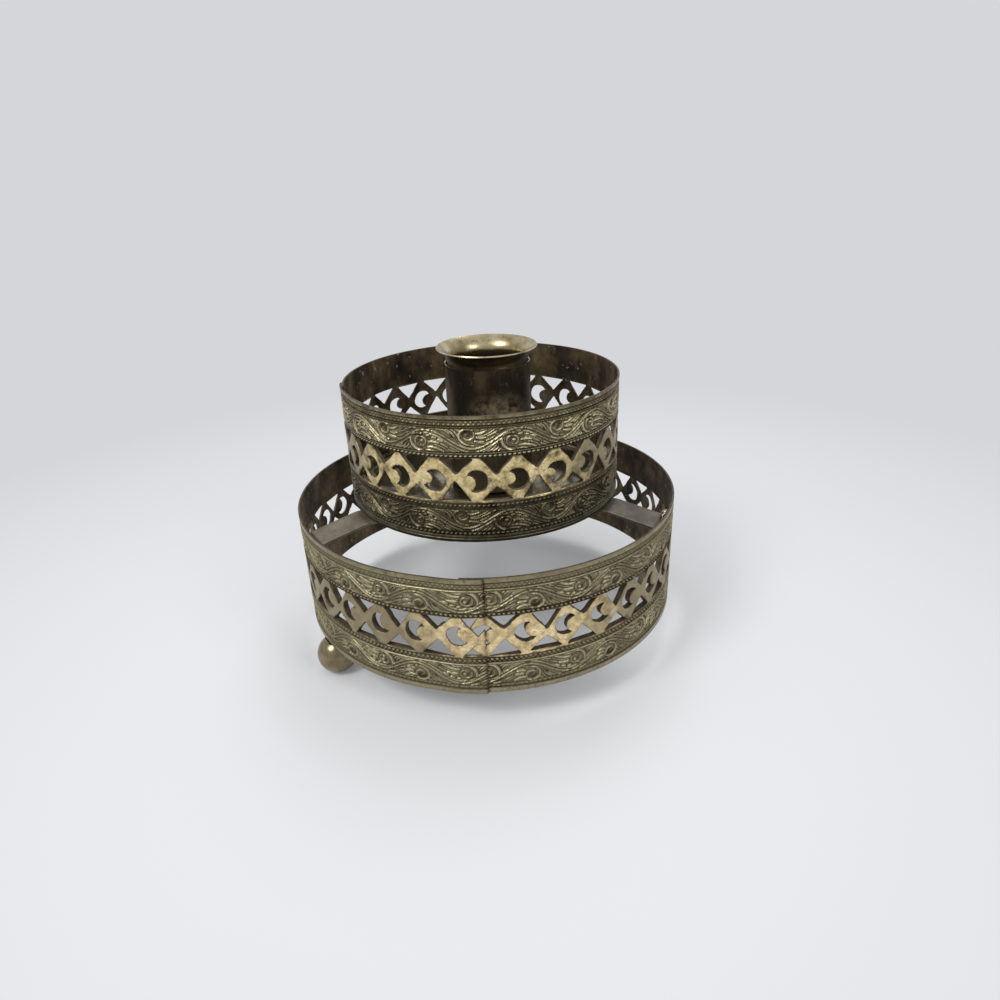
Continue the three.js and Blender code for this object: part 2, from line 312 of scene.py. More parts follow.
# Each stroke of the scrolls: its half width, its height, and the points that it runs through
SCROLL_STROKES = (
    # the scroll under the stem's crest
    (0.36, 1.00, ((-4.3, 0.3), (-4.25, -0.8), (-3.8, -1.8), (-2.9, -2.6), (-1.9, -2.95), (-1.0, -2.9))),
    (0.20, 0.80, ((-4.1, 0.7), (-3.4, 1.25), (-2.4, 1.5), (-1.2, 1.3))),
    (0.24, 0.85, (
        (-2.9, -1.5), (-3.1, -0.3), (-2.4, 0.6), (-1.2, 0.65), (-0.3, 0.0), (-0.3, -1.0), (-1.0, -1.6), (-1.9, -1.4),
    )),
    (0.42, 1.00, ((-1.5, -0.3), (-1.0, -0.35))),
    (0.30, 1.00, ((-0.1, 0.95), (0.9, 1.2))),
    (0.28, 1.00, ((1.4, 0.75), (2.6, 0.6))),
    (0.30, 1.00, ((3.1, 0.25), (4.4, -0.25))),
    (0.15, 0.65, ((0.4, 0.15), (1.6, 0.1), (2.8, -0.15), (4.2, -0.85))),
    (0.34, 1.00, ((0.5, -0.55), (1.7, -0.5), (3.3, -0.75))),
    (0.20, 0.80, ((3.6, -0.9), (4.6, -1.3), (5.5, -1.9))),
    (0.18, 0.70, ((0.2, -1.25), (1.6, -1.15), (3.2, -1.45), (5.0, -2.3))),
    (0.32, 1.00, ((0.0, -1.95), (1.2, -1.85), (2.8, -2.15), (4.4, -2.85))),
    (0.24, 0.85, ((-0.5, -2.75), (0.8, -2.65), (2.2, -2.95))),
    (0.15, 0.60, ((-0.6, 1.45), (1.0, 1.7), (2.6, 1.35), (4.2, 0.5))),
    # the curl above the trough
    (0.28, 0.95, (
        (11.9, 2.6), (10.8, 2.95), (9.5, 2.75), (8.5, 1.9), (8.4, 0.7), (9.1, -0.4), (10.4, -1.1), (12.0, -1.3),
    )),
    (0.26, 0.90, ((12.0, 2.1), (12.1, 1.2), (11.6, 0.5), (10.7, 0.15), (9.9, 0.35), (9.5, 0.9))),
    (0.15, 0.60, ((7.8, 1.4), (7.8, 0.4), (8.6, -0.9), (9.9, -1.65), (11.6, -1.95), (13.2, -1.7), (14.8, -1.2))),
    (0.32, 1.00, ((12.5, 1.8), (13.3, 1.75), (14.2, 2.0), (15.2, 2.5))),
    (0.17, 0.70, ((13.3, 1.2), (14.6, 1.3), (16.2, 2.0), (17.4, 2.85))),
    (0.34, 1.00, ((12.7, 0.75), (13.8, 0.6), (15.0, 0.85))),
    (0.20, 0.80, ((15.4, 1.1), (16.6, 1.55), (17.9, 2.3))),
    (0.34, 1.00, ((12.3, -0.15), (13.3, -0.35), (14.5, -0.3))),
    (0.18, 0.75, ((15.0, -0.05), (16.2, 0.4), (17.4, 1.15))),
    (0.15, 0.65, ((12.9, 2.5), (14.0, 2.65), (15.4, 2.95))),
    (0.16, 0.60, ((12.6, -0.85), (14.4, -0.8), (16.2, -0.3))),
    # strokes that fill the corners
    (0.22, 0.80, ((4.2, 2.95), (5.6, 2.2), (6.7, 0.9))),
    (0.22, 0.85, ((5.3, 2.95), (6.6, 2.0), (7.5, 0.5))),
    (0.22, 0.80, ((6.4, 2.95), (7.4, 2.2), (8.0, 1.2))),
    (0.22, 0.80, ((7.5, 2.95), (8.4, 2.6), (9.0, 2.3))),
    (0.20, 0.80, ((5.6, -2.3), (6.6, -2.7), (7.6, -3.0))),
    (0.20, 0.75, ((6.0, -1.7), (7.2, -2.3), (8.4, -2.95))),
    (0.22, 0.85, ((14.0, -2.95), (15.3, -2.45), (16.4, -1.7))),
    (0.22, 0.80, ((15.2, -2.95), (16.7, -2.3), (17.6, -1.2))),
    (0.22, 0.85, ((16.5, -2.95), (17.9, -2.1), (18.5, -0.8))),
    (0.20, 0.80, ((17.8, -2.95), (18.7, -2.3), (19.2, -1.5))),
    (0.20, 0.80, ((18.4, 2.5), (19.4, 2.8), (20.6, 2.95))),
    (0.20, 0.75, ((2.6, 2.9), (3.4, 2.85), (4.2, 2.5))),
)

# Dark hollows beside the scrolls: half width, and the points that each runs through
SCROLL_HOLLOWS = (
    (0.55, ((9.35, 1.5), (9.9, 2.15), (10.8, 2.2), (11.3, 1.6))),
    (0.40, ((10.4, 1.2), (11.0, 1.1))),
    (0.24, ((-4.0, 0.45), (-3.2, 0.95), (-2.0, 1.1), (-0.8, 0.95))),
    (0.26, ((-2.35, -0.9), (-2.0, -0.05), (-1.2, 0.2))),
    (0.24, ((-5.0, -0.4), (-4.8, -1.6), (-4.0, -2.6))),
    (0.22, ((-2.9, -2.0), (-2.2, -2.3), (-1.2, -2.3))),
    (0.22, ((6.2, 1.6), (7.2, 0.6))),
    (0.20, ((17.9, 1.7), (18.9, 2.0), (20.0, 2.5))),
)


def vine_strokes():
    """Lines and leaves of one repeat. The crest of the stem is at 0, its trough half a repeat on."""
    strokes = []
    swing = 2 * math.pi / VINE_LENGTH
    for offset in STEM_LINES:
        line = []
        for u in np.linspace(0, VINE_LENGTH, 80):
            slope = -STEM_SWING * swing * math.sin(swing * u)
            long = math.hypot(1, slope)
            middle = STEM_LEVEL + STEM_SWING * math.cos(swing * u)
            line.append((u - offset * slope / long, middle + offset / long))
        strokes.append((line, [STEM_HALF_WIDTH] * len(line), STEM_TOP))
    for half, top, knots in SCROLL_STROKES:
        line = smooth_line(knots)
        taper = np.sin(math.pi * np.linspace(0.1, 0.94, len(line))) ** 0.7
        strokes.append((line, half * (0.3 + 0.9 * taper), top))
    return strokes


def hollow_strokes():
    strokes = []
    for half, knots in SCROLL_HOLLOWS:
        line = smooth_line(knots)
        strokes.append((line, half * np.sin(math.pi * np.linspace(0.12, 0.88, len(line))) ** 0.6, 1.0))
    return strokes


def relief_tile():
    """Heights from 0, the deepest hollow, to 1, the crown, over one repeat of the vine."""
    columns = round(VINE_LENGTH / TILE_STEP)
    rows = round(2 * TILE_HALF_HEIGHT / TILE_STEP) + 1
    levels = np.linspace(-TILE_HALF_HEIGHT, TILE_HALF_HEIGHT, rows)
    u, v = np.meshgrid(np.arange(columns) * TILE_STEP, levels, indexing="ij")

    def drawn(strokes, wider=0.0):
        heights = np.zeros_like(u)
        for points, widths, top in strokes:
            widths = [half + wider for half in widths]
            for shift in (-VINE_LENGTH, 0.0, VINE_LENGTH):
                moved = [(a + shift, b) for a, b in points]
                lowest = min(a for a, _ in moved) - 1
                highest = max(a for a, _ in moved) + 1
                inside = (u[:, 0] > lowest) & (u[:, 0] < highest)
                if inside.any():
                    raised = stroke_height(u[inside], v[inside], moved, widths, top)
                    heights[inside] = np.maximum(heights[inside], raised)
        return heights

    strokes = vine_strokes()
    moat = smoothstep(2.0 * drawn([(points, widths, 1.0) for points, widths, _ in strokes], MOAT_WIDTH))
    sunk = smoothstep(1.6 * drawn(hollow_strokes()))
    across, up = (np.sin(axis * 2 * math.pi / pitch) for axis, pitch in zip((u, v), GRAIN_PITCH))
    ground = GROUND_LEVEL + GRAIN_LEVEL * across * up
    ground += (MOAT_LEVEL - ground) * moat
    return np.maximum(drawn(strokes), ground) * (1.0 - sunk)


def sample_tile(tile, u, v):
    column = np.mod(u, VINE_LENGTH) / TILE_STEP
    row = np.clip((v + TILE_HALF_HEIGHT) / TILE_STEP, 0, tile.shape[1] - 1.001)
    c0 = np.floor(column).astype(int)
    r0 = np.floor(row).astype(int)
    cf, rf = column - c0, row - r0
    c0 = np.mod(c0, tile.shape[0])
    c1 = np.mod(c0 + 1, tile.shape[0])
    low = tile[c0, r0] * (1 - cf) + tile[c1, r0] * cf
    high = tile[c0, r0 + 1] * (1 - cf) + tile[c1, r0 + 1] * cf
    return low * (1 - rf) + high * rf


def ridge(height, centre, half):
    return np.sqrt(np.clip(1 - ((height - centre) / half) ** 2, 0, 1))


def beads(along, height, centre, length, width, shift):
    """A row of beads, each leaning a little like the strands of a rope."""
    offset = np.mod(along - shift - 0.5 * (height - centre), BEAD_PITCH) - BEAD_PITCH / 2
    return np.sqrt(np.clip(1 - (offset / (length / 2)) ** 2 - ((height - centre) / (width / 2)) ** 2, 0, 1))


def relief_heights(ring, tile, along, height):
    """How far the strip's outer face stands up at each point: 0 at the ground, 1 at the crown."""
    result = np.zeros_like(along)
    for low, high in ring["faint"]:
        between = smoothstep((height - low) / FAINT_EASE) * smoothstep((high - height) / FAINT_EASE)
        result = np.maximum(result, FAINT_LEVEL * between)
    for middle, crest in ring["vines"]:
        v = ring["turn"] * (height - middle)
        inside = smoothstep((VINE_HALF_HEIGHT - np.abs(v)) / VINE_EASE)
        result = np.maximum(result, inside * sample_tile(tile, along - crest, v))
    for centre, half, level in ring["ridges"]:
        result = np.maximum(result, level * ridge(height, centre, half))
    for centre, length, width, shift, level in ring["beads"]:
        result = np.maximum(result, level * beads(along, height, centre, length, width, shift))
    low, high = ring["edges"]
    plain = np.maximum(smoothstep((low - height) / EDGE_EASE), smoothstep((height - high) / EDGE_EASE))
    return np.maximum(result, plain * (PLAIN - GROUND) / (CROWN - GROUND))


def relief_rows(ring, low, high):
    """Grid rows: fine where beads and ridges are, a little wider over the vines."""
    rows = [low]
    while rows[-1] < high - 1e-6:
        here = rows[-1]
        if any(abs(here - middle) < VINE_HALF_HEIGHT for middle, _ in ring["vines"]):
            step = VINE_ROW
        elif ring["edges"][0] - 0.8 < here < ring["edges"][1] + 0.1:
            step = BEAD_ROW
        else:
            step = PLAIN_ROW
        rows.append(min(here + step, high))
    if rows[-1] - rows[-2] < LEAST_ROW:
        del rows[-2]
    return np.array(rows)


def seam_closeness(ring, along):
    """1 at the cut that shows at the lap, falling to 0 about a millimetre from it."""
    distance = np.minimum(np.abs(along), np.abs(along - round_length(ring)))
    return np.exp(-(distance / SEAM_REACH) ** 2)


def wear_at(ring, along):
    """How much the posts are brightened, most at the front and the back: a painted sheen, lightest where they face
    the front.
    """
    azimuth = np.degrees(azimuth_at(ring, along)) - ring["sheen_front"]
    away = np.mod(np.stack([azimuth + 180.0, azimuth]), 360.0) - 180.0
    front, behind = np.exp(-np.abs(away / ring["sheen_reach"]) ** 3)
    return np.maximum(front, SHEEN_BEHIND * behind)


def strip_piece(ring, name, points, faces, marks, materials, sharp_angle, **values):
    """A closed piece of a ring. values are what its materials read at each point."""
    if ring["turn"] < 0:
        faces = [face[::-1] for face in faces]
    piece = new_piece(name, points, faces, materials, marks, sharp_angle)
    for label, value in values.items():
        layer = piece.data.attributes.new(label, "FLOAT", "POINT")
        layer.data.foreach_set("value", np.asarray(value, np.float32))
    place(piece, ring["node"])


def relief_shell(ring, name, tile, rows, materials):
    """The strip between two heights, its outer face embossed."""
    along = np.linspace(0, strip_length(ring), ring["columns"] + 1)
    s, h = np.meshgrid(along, rows, indexing="ij")
    relief = relief_heights(ring, tile, s, h)
    outer = on_ring(ring, s, h, GROUND + (CROWN - GROUND) * relief)
    s2, h2 = np.meshgrid(along, rows[[0, -1]], indexing="ij")
    inner = on_ring(ring, s2, h2, INSIDE)
    front = np.arange(s.size).reshape(s.shape)
    back = s.size + np.arange(s2.size).reshape(s2.shape)

    def quads(index):
        return np.stack([index[:-1, :-1], index[1:, :-1], index[1:, 1:], index[:-1, 1:]], -1).reshape(-1, 4)

    below = np.stack([front[:-1, 0], back[:-1, 0], back[1:, 0], front[1:, 0]], -1)
    above = np.stack([front[:-1, -1], front[1:, -1], back[1:, 1], back[:-1, 1]], -1)
    ends = [[*front[0, ::-1].tolist(), *back[0].tolist()], [*front[-1].tolist(), *back[-1, ::-1].tolist()]]
    sides = (quads(front), quads(back)[:, ::-1], below, above)
    faces = [*np.concatenate(sides).tolist(), *ends]
    marks = np.repeat([0, 1, 2, 2, 2], [*map(len, sides), len(ends)])
    points = np.concatenate([outer.reshape(-1, 3), inner.reshape(-1, 3)])
    strip_piece(
        ring, name, points, faces, marks, materials, 60, relief=np.append(relief, np.zeros(s2.size)),
        seam=seam_closeness(ring, np.append(s, s2)), height=np.append(h, h2),
    )


# Pierced zone

def rounded(corners, radius):
    """A closed outline with its sharp corners rounded."""
    result = []
    corners = np.array(corners)
    for before, here, after in zip(np.roll(corners, 1, axis=0), corners, np.roll(corners, -1, axis=0)):
        before, after = before - here, after - here
        back, on = np.linalg.norm(before), np.linalg.norm(after)
        turn = math.acos(np.clip(np.dot(before, after) / back / on, -1, 1))
        if turn > math.radians(140):
            result.append(here)
            continue
        reach = min(radius / math.tan(turn / 2), 0.4 * back, 0.4 * on)
        result.extend(curve(here + before / back * reach, here, here + after / on * reach, 4))
    return np.array(result)


def three_sided_hole(size, flat_height, up):
    width, depth = size
    tip = np.array([0.0, flat_height - up * depth])
    left, right = (np.array([side * width / 2, flat_height]) for side in (-1, 1))
    sides = [np.linspace(right, tip, 6)[:-1], np.linspace(tip, left, 6)]
    return rounded(np.concatenate(sides), HOLE_CORNER_RADIUS)


def crescent_hole(lobe, tilt):
    offset = (LOOP_HOLE_RADIUS ** 2 - lobe ** 2 + LOBE_OFFSET ** 2) / (2 * LOBE_OFFSET)
    horn = math.sqrt(LOOP_HOLE_RADIUS ** 2 - offset ** 2)
    outer_end = math.atan2(horn, -offset)
    lobe_end = math.atan2(horn, LOBE_OFFSET - offset)
    outer = [(0.0, LOOP_HOLE_RADIUS, a) for a in np.linspace(-outer_end, outer_end, 25)]
    inner = [(-LOBE_OFFSET, lobe, a) for a in np.linspace(lobe_end, -lobe_end, 14)[1:-1]]
    tilt = math.radians(tilt)
    turned = []
    for middle, radius, a in outer + inner:
        x, y = middle + radius * math.cos(a), radius * math.sin(a)
        turned.append((x * math.cos(tilt) - y * math.sin(tilt), x * math.sin(tilt) + y * math.cos(tilt) - LOOP_DROP))
    return rounded(turned, CRESCENT_CORNER_RADIUS)


def signed_area(points):
    after = np.roll(points, -1, axis=0)
    return 0.5 * np.sum(points[:, 0] * after[:, 1] - after[:, 0] * points[:, 1])


def offset_outline(points, distance):
    """The outline moved outwards from the hole it bounds."""
    tangent = np.roll(points, -1, axis=0) - np.roll(points, 1, axis=0)
    tangent /= np.linalg.norm(tangent, axis=1)[:, None]
    normal = np.stack([tangent[:, 1], -tangent[:, 0]], -1) * math.copysign(1, signed_area(points))
    return points + distance * normal


def lies_inside(outline, points):
    """Which of the points lie inside a closed outline."""
    inside = np.zeros(len(points), bool)
    near = np.all((points > outline.min(axis=0)) & (points < outline.max(axis=0)), axis=1)
    x, y = points[near].T
    crossings = np.zeros(len(x), int)
    for (x0, y0), (x1, y1) in zip(outline, np.roll(outline, -1, axis=0)):
        spans = (y0 > y) != (y1 > y)
        with np.errstate(divide="ignore", invalid="ignore"):
            crossings += spans & (x < (x1 - x0) * (y - y0) / (y1 - y0) + x0)
    inside[near] = crossings % 2 == 1
    return inside


def hole_outlines(ring):
    """The outlines on the flat strip, each a little uneven: a hole, then the rim around it."""
    half = PIERCED_HEIGHT / 2
    kinds = [
        (
            (crescent_hole(lobe, motif["tilt"]), 0.0),
            (three_sided_hole(motif["above"], half, 1), MOTIF_PITCH / 2),
            (three_sided_hole(motif["below"], -half, -1), MOTIF_PITCH / 2),
        )
        for motif, lobe in zip(ring["motifs"], ring["lobes"])
    ]
    uneven = np.random.default_rng(HOLE_SEED)
    count = math.ceil((strip_length(ring) - ring["first_motif"]) / MOTIF_PITCH) + 1
    for i in range(-1, count):
        for outline, shift in kinds[i % 2]:
            at = (ring["first_motif"] + i * MOTIF_PITCH + shift, PIERCED_MIDDLE)
            nudge = uneven.normal(0, 1, 2) * HOLE_SHIFT
            stretch = 1 + uneven.normal(0, HOLE_STRETCH, 2)
            phases = uneven.uniform(0, 2 * math.pi, 3)
            bearing = np.arctan2(*(outline - np.mean(outline, axis=0)).T)
            wobble = sum(np.sin(k * bearing + phase) for k, phase in zip((2, 3, 5), phases))
            outwards = offset_outline(outline, 1.0) - outline
            rough = outline + HOLE_UNEVENNESS * wobble[:, None] * outwards
            for drawn, is_hole in ((rough, True), (offset_outline(rough, HOLE_RIM), False)):
                yield (drawn * stretch + nudge) * (1, ring["turn"]) + at, is_hole


# Points between the holes, so that the band bends evenly
FILL_SPACING = 1.0
FILL_MARGIN = 0.6
SAME_POINT = 1e-4


def closed_loop(indexes):
    return zip(indexes, [*indexes[1:], indexes[0]])


def pierced_sheet(ring):
    """The flat band as points and triangles, and which points lie on a hole's edge or on its rim."""
    length = strip_length(ring)
    low, high = PIERCED_ZONE
    across = np.linspace(0, length, int(length) + 1)
    upwards = np.linspace(low, high, 12)[1:-1]
    points = [(s, low) for s in across] + [(length, h) for h in upwards]
    points += [(s, high) for s in across[::-1]] + [(0, h) for h in upwards[::-1]]
    edges = list(closed_loop(range(len(points))))
    holes, of_hole, of_rim = [], set(), set()
    for outline, is_hole in hole_outlines(ring):
        own = range(len(points), len(points) + len(outline))
        points.extend(map(tuple, outline))
        edges.extend(closed_loop(own))
        (of_hole if is_hole else of_rim).update(own)
        if is_hole:
            holes.append(outline)
    for h in np.arange(low + FILL_MARGIN, high - FILL_MARGIN / 2, FILL_SPACING):
        points.extend((s, h) for s in np.arange(FILL_MARGIN, length, FILL_SPACING))
    verts, _, triangles, origins, _, _ = delaunay_2d_cdt([Vector(p) for p in points], edges, [], 0, SAME_POINT)
    flat = np.array([(v.x, v.y) for v in verts])
    triangles = np.array(triangles)
    centres = flat[triangles].mean(axis=1)
    solid = np.all((centres > (0, low)) & (centres < (length, high)), axis=1)
    for hole in holes:
        solid &= ~lies_inside(hole, centres)
    used, kept = np.unique(triangles[solid], return_inverse=True)
    kept = kept.reshape(-1, 3)
    flat = flat[used]
    (ax, ay), (bx, by), (cx, cy) = (flat[kept[:, i]].T for i in range(3))
    backwards = (bx - ax) * (cy - ay) - (by - ay) * (cx - ax) < 0
    kept[backwards] = kept[backwards][:, ::-1]
    on_edge, on_rim = (
        np.array([bool(marked.intersection(origins[i])) for i in used]) for marked in (of_hole, of_rim)
    )
    return flat, kept, on_edge, on_rim


def burr_level(ring, s, h):
    """The holes' edges stand far inwards along the band's base and at the front, where the sine of the
    azimuth is below BURR_FRONT, and little elsewhere."""
    at_front = smoothstep((BURR_FRONT - np.sin(azimuth_at(ring, s))) / BURR_FRONT_EASE)
    at_base = 1 - smoothstep((h - PIERCED_MIDDLE + PIERCED_HEIGHT / 2) / BURR_BASE_EASE)
    return HOLE_BURR + (ring["burr"] - HOLE_BURR) * np.maximum(at_front, at_base)


def pierced_shell(ring, name, materials):
    """The openwork band between the two embossed ones."""
    flat, kept, on_edge, on_rim = pierced_sheet(ring)
    s, h = flat.T
    outer = on_ring(ring, s, h, np.where(on_edge, PLAIN - HOLE_BEVEL, PLAIN))
    burr = burr_level(ring, s, h)
    at_rim = RIM_BURR_SHARE * burr + (1 - RIM_BURR_SHARE) * INSIDE
    under = np.where(on_edge, burr, np.where(on_rim, at_rim, INSIDE))
    lapped = (lap_lift(ring, s) > 0.5 * LAP_LIFT) | (s > round_length(ring) - 1.0)
    inner = on_ring(ring, s, h, np.where(lapped, INSIDE, under))
    count = len(flat)
    directed = dict.fromkeys(edge for triangle in kept.tolist() for edge in closed_loop(triangle))
    walls = [[j, i, i + count, j + count] for i, j in directed if (j, i) not in directed]
    faces = [*kept.tolist(), *(kept[:, ::-1] + count).tolist(), *walls]
    marks = np.repeat([0, 1, 2], [len(kept), len(kept), len(walls)])
    along = np.tile(s, 2)
    # The posts' painted sheen goes in as a value at each point
    strip_piece(
        ring, name, np.concatenate([outer, inner]), faces, marks, materials, 50,
        relief=np.append(~on_edge, np.zeros(count)), seam=seam_closeness(ring, along),
        wear=wear_at(ring, along), height=np.tile(h, 2),
    )


# Turned pieces

def unmoved(row, angle):
    return 0.0, 0.0, 0.0


def lathe(name, profile, materials, marks=None, centre=(0.0, 0.0), steps=144, sharp_angle=40, moved=unmoved):
    """A closed profile of radius and height turned about a vertical line. marks gives the material of
    each row of faces, and moved says how far each point lies from the turned shape."""
    points, rows = [], []
    for row, (radius, height) in enumerate(profile):
        count = 1 if radius < 1e-6 else steps
        rows.append([len(points) + column % count for column in range(steps + 1)])
        for angle in np.arange(count) * 2 * math.pi / steps:
            turned = np.array([radius * math.cos(angle), radius * math.sin(angle), height])
            points.append(turned + moved(row, angle) + (*centre, 0.0))
    faces, face_marks = [], []
    for here, following, mark in zip(rows, rows[1:] + rows[:1], marks or [0] * len(rows)):
        for column in range(steps):
            face = dict.fromkeys((here[column], here[column + 1], following[column + 1], following[column]))
            if len(face) > 2:
                faces.append(list(face))
                face_marks.append(mark)
    return new_piece(name, np.array(points) * MM, faces, materials, face_marks, sharp_angle)


def fillet(before, corner, after, radius, steps=6):
    before, corner, after = (np.array(p, float) for p in (before, corner, after))
    back = (before - corner) / np.linalg.norm(before - corner)
    on = (after - corner) / np.linalg.norm(after - corner)
    half_angle = math.acos(np.clip(back @ on, -1, 1)) / 2
    centre = corner + (back + on) / np.linalg.norm(back + on) * radius / math.sin(half_angle)
    start = corner + back * radius / math.tan(half_angle) - centre
    end = corner + on * radius / math.tan(half_angle) - centre
    turn = math.atan2(start[0] * end[1] - start[1] * end[0], start @ end)
    across = np.array([-start[1], start[0]])
    return [tuple(centre + start * math.cos(a) + across * math.sin(a)) for a in np.linspace(0, turn, steps + 1)]


def unit(vectors):
    return vectors / np.linalg.norm(vectors, axis=1, keepdims=True)


def sheet_faces(line, thickness):
    """Both faces of a sheet seen edge on, from its middle line, the right one first."""
    steps = unit(np.diff(line, axis=0))
    into = np.concatenate([steps[:1], steps])
    along = unit(into + np.concatenate([steps, steps[-1:]]))
    reach = thickness / 2 / np.sum(along * into, axis=1, keepdims=True)
    side = np.stack([along[:, 1], -along[:, 0]], -1) * reach
    return line + side, line - side


def sheet_outline(line, thickness):
    right, left = sheet_faces(line, thickness)
    return np.concatenate([right, left[::-1]]).tolist()


# Materials

RUST = (0.06, 0.025, 0.01)
EDGE_SHADE_AND_GRIME = (0.07, 0.05, 0.025)
TOP_GRIME = (0.085, 0.06, 0.032)
DUST = (0.42, 0.4, 0.34)
FINE_BUMP = 0.00003


def fill(tree, made, inputs):
    """Each input of a node gets its value, or a link from the socket given for it."""
    for socket, value in inputs.items():
        if isinstance(value, bpy.types.NodeSocket):
            tree.links.new(value, made.inputs[socket])
        else:
            made.inputs[socket].default_value = value


def add_node(tree, kind, inputs, **settings):
    made = tree.nodes.new(kind)
    for name, value in settings.items():
        setattr(made, name, value)
    fill(tree, made, inputs)
    return made


def node_material(name):
    material = bpy.data.materials.new(name)
    material.use_nodes = True
    tree = material.node_tree
    tree.nodes.clear()
    shader = add_node(tree, "ShaderNodeBsdfPrincipled", {})
    return material, tree, shader, add_node(tree, "ShaderNodeOutputMaterial", {"Surface": shader.outputs["BSDF"]})


def place_at(tree):
    return add_node(tree, "ShaderNodeTexCoord", {}).outputs["Object"]


def noise(tree, scale, detail=4.0, roughness=0.6, stretch=(1, 1, 1)):
    mapped = add_node(tree, "ShaderNodeMapping", {"Vector": place_at(tree), "Scale": stretch}).outputs["Vector"]
    inputs = {"Vector": mapped, "Scale": scale, "Detail": detail, "Roughness": roughness}
    return add_node(tree, "ShaderNodeTexNoise", inputs).outputs["Fac"]


def ramp(tree, value, stops):
    made = add_node(tree, "ShaderNodeValToRGB", {"Fac": value})
    elements = made.color_ramp.elements
    while len(elements) < len(stops):
        elements.new(0.5)
    for element, (position, colour) in zip(elements, stops):
        element.position = position
        element.color = (*colour, 1.0)
    return made.outputs["Color"]


def even_ramp(tree, value, low, high, colours):
    return ramp(tree, value, list(zip(np.linspace(low, high, len(colours)), colours)))


def mix(tree, factor, first, second, blend="MIX"):
    first, second = ((*colour, 1.0) if isinstance(colour, tuple) else colour for colour in (first, second))
    inputs = {0: factor, 6: first, 7: second}
    return add_node(tree, "ShaderNodeMix", inputs, data_type="RGBA", blend_type=blend).outputs[2]


def spread(tree, value, low, high, to_low=0.0, to_high=1.0):
    inputs = {"Value": value, "From Min": low, "From Max": high, "To Min": to_low, "To Max": to_high}
    return add_node(tree, "ShaderNodeMapRange", inputs).outputs["Result"]


def stained(tree, colour, *stains):
    """The colour under some stains, each of which sets in as its pattern rises from low to high."""
    for pattern, low, high, amount, stain in stains:
        colour = mix(tree, spread(tree, pattern, low, high, 0.0, amount), colour, stain)
    return colour


def attribute(tree, name):
    return add_node(tree, "ShaderNodeAttribute", {}, attribute_name=name).outputs["Fac"]


def combine(tree, operation, first, second):
    return add_node(tree, "ShaderNodeMath", {0: first, 1: second}, operation=operation).outputs[0]


def finish_metal(tree, shader, colour, metallic, roughness, bumps, distance=FINE_BUMP, strength=0.5):
    bump = add_node(tree, "ShaderNodeBump", {"Strength": strength, "Distance": distance, "Height": bumps})
    fill(tree, shader, {
        "Base Color": colour, "Metallic": metallic, "Roughness": roughness, "Normal": bump.outputs["Normal"],
    })


def rusted_at_seam(tree, colour):
    """Rust brown where the cut end of the strip shows."""
    patch = noise(tree, 420.0, 3.0)
    amount = combine(tree, "MULTIPLY", attribute(tree, "seam"), spread(tree, patch, 0.35, 0.6, 0.3, 1.0))
    return mix(tree, amount, colour, RUST)


def embossed_metal(name, relief_stops, height_stops, stain, roughness, metallic, top_grime):
    """relief_stops colour the relief from ground to crown, darkest in the hollows and lightest on the crowns, partly
    as tarnish and wear and partly as painted shade and painted highlight; height_stops shade the strip from edge to
    edge.
    Every roughness is a pair, dull and then bright."""
    material, tree, shader, _ = node_material(name)
    relief = attribute(tree, "relief")
    broad = noise(tree, 75.0)
    patches = noise(tree, 260.0)
    grime = noise(tree, 1100.0, 3.0)
    share = spread(tree, attribute(tree, "height"), 0.0, STRIP_WIDTH)
    # Painted shade and painted highlight, partly tarnish and wear: the relief ramp darkens the hollows and lightens
    # the crowns
    shaded = mix(tree, 1.0, ramp(tree, relief, relief_stops), ramp(tree, share, height_stops), "MULTIPLY")
    spotted = stained(
        tree, shaded, (broad, 0.4, 0.65, 0.5, stain), (patches, 0.48, 0.7, 0.6, stain),
        (grime, 0.5, 0.68, 0.45, relief_stops[0][1]),
    )
    top = spread(tree, share, 0.89, 0.95, 0.0, top_grime)
    at_top = combine(tree, "MULTIPLY", top, spread(tree, patches, 0.42, 0.58))
    colour = rusted_at_seam(tree, mix(tree, at_top, spotted, TOP_GRIME))
    finish_metal(tree, shader, colour, metallic, spread(tree, relief, 0.1, 1.0, *roughness), grime, 0.00005)
    return material


def patchy_metal(name, colours, metallic, roughness, scale=140.0, stretch=(1, 1, 1), specks=0.0):
    """Metal that wanders between the colours, the darkest first, with pale specks if asked for."""
    material, tree, shader, _ = node_material(name)
    broad = noise(tree, scale, 5.0, stretch=stretch)
    fine = noise(tree, scale * 6, 3.0, stretch=stretch)
    base = even_ramp(tree, broad, 0.3, 0.7, colours)
    speckled = stained(tree, base, (fine, 0.5, 0.75, 0.55, colours[0]))
    if specks:
        speckled = stained(tree, speckled, (noise(tree, 650.0, 1.0), 0.7, 0.76, specks, DUST))
    finish_metal(tree, shader, speckled, metallic, spread(tree, broad, 0.3, 0.7, *roughness), fine, strength=0.6)
    return material


